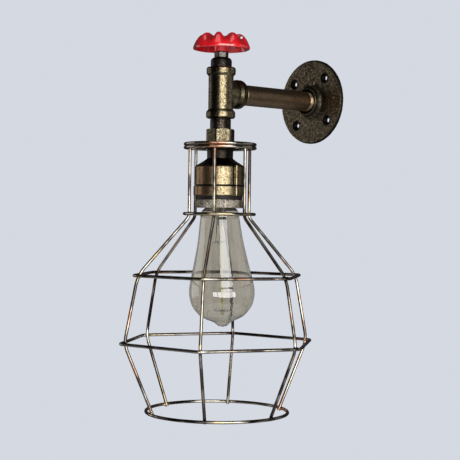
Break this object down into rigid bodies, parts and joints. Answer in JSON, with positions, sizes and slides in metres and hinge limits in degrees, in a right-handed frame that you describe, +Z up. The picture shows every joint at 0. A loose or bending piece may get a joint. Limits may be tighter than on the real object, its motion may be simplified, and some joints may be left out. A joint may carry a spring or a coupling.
{
  "type": "pipe wall light",
  "caption": "Industrial wall light of pipe fittings: wall flange, short arm and tee with a red valve handwheel on top, and a filament bulb hanging in an open wire cage.",
  "frame": {"origin": "centre of the wall flange's back face, on the wall plane", "axes": "+Y points into the wall, the arm runs along -Y to the lamp's axis, +Z is up along the lamp's axis, +X is to the right as the wall is faced"},
  "size_m": [0.1976, 0.2227, 0.3715],
  "materials": {
    "cast_bronze": "rough sand casting with a dark bronze wash",
    "pipe_bronze": "satin brown bronze paint",
    "antique_brass": "rough casting in antique brass, dark in the recesses",
    "black_iron": "near black, lightly rough",
    "plated_steel": "plated, slightly tarnished",
    "red_enamel": "thick gloss enamel",
    "cage_wire": "antique bronze with copper and gold rubbed through",
    "contact_brass": "clean pressed brass",
    "dark_phenolic": "moulded, near black, slightly glossy",
    "lead_brown": "insulation",
    "lead_blue": "insulation",
    "smoky_glass": "clear glass with a smoky tint",
    "stem_glass": "clear drawn glass",
    "cap_nickel": "nickel-plated pressed shell",
    "cap_glass": "black glass",
    "filament_wire": "fine dark wire"
  },
  "bodies": {
    "fixture": {"wall_flange": "cast_bronze", "arm_pipe": "pipe_bronze", "tee_fitting": "antique_brass", "valve_bonnet": "black_iron", "packing_nut": "plated_steel", "lower_nipple": "pipe_bronze", "hex_bushing": "antique_brass", "threaded_rod": "plated_steel", "upper_lock_nut": "plated_steel", "lower_lock_nut": "plated_steel", "holder_housing": "antique_brass", "holder_insulator": "dark_phenolic", "screw_shell": "contact_brass", "centre_contact": "contact_brass", "live_terminal_nut": "contact_brass", "neutral_terminal_nut": "contact_brass", "live_lead": "lead_brown", "neutral_lead": "lead_blue", "cage_top_plate": "cage_wire", "cage_ring_top_upper": "cage_wire", "cage_ring_top_lower": "cage_wire", "cage_ring_neck": "cage_wire", "cage_ring_shoulder": "cage_wire", "cage_ring_middle": "cage_wire", "cage_ring_mouth": "cage_wire", "cage_wire_1": "cage_wire", "cage_wire_2": "cage_wire", "cage_wire_3": "cage_wire", "cage_wire_4": "cage_wire", "cage_wire_5": "cage_wire", "cage_wire_6": "cage_wire"},
    "handwheel_set": {"handwheel": "red_enamel", "valve_stem": "plated_steel", "handwheel_nut": "plated_steel"},
    "bulb": {"glass_envelope": "smoky_glass", "bulb_screw_cap": "cap_nickel", "bulb_cap_insulator": "cap_glass", "bulb_cap_contact": "cap_nickel", "bulb_glass_stem": "stem_glass", "bulb_upper_hooks": "filament_wire", "bulb_lower_hooks": "filament_wire", "bulb_filament": "filament_wire", "bulb_lead_in_a": "filament_wire", "bulb_lead_in_b": "filament_wire"},
    "collar": {"shade_ring": "antique_brass"}
  },
  "joints": [
    {"name": "handwheel_turn", "type": "hinge", "parent": "fixture", "child": "handwheel_set", "pos_m": [0, -0.129, 0.045], "axis": [0, 0, 1], "continuous": true},
    {"name": "bulb_withdraw", "type": "slide", "parent": "fixture", "child": "bulb", "axis": [0, 0, -1], "range_m": [0, 0.03]},
    {"name": "collar_withdraw", "type": "slide", "parent": "fixture", "child": "collar", "axis": [0, 0, -1], "range_m": [0, 0.009]}
  ]
}
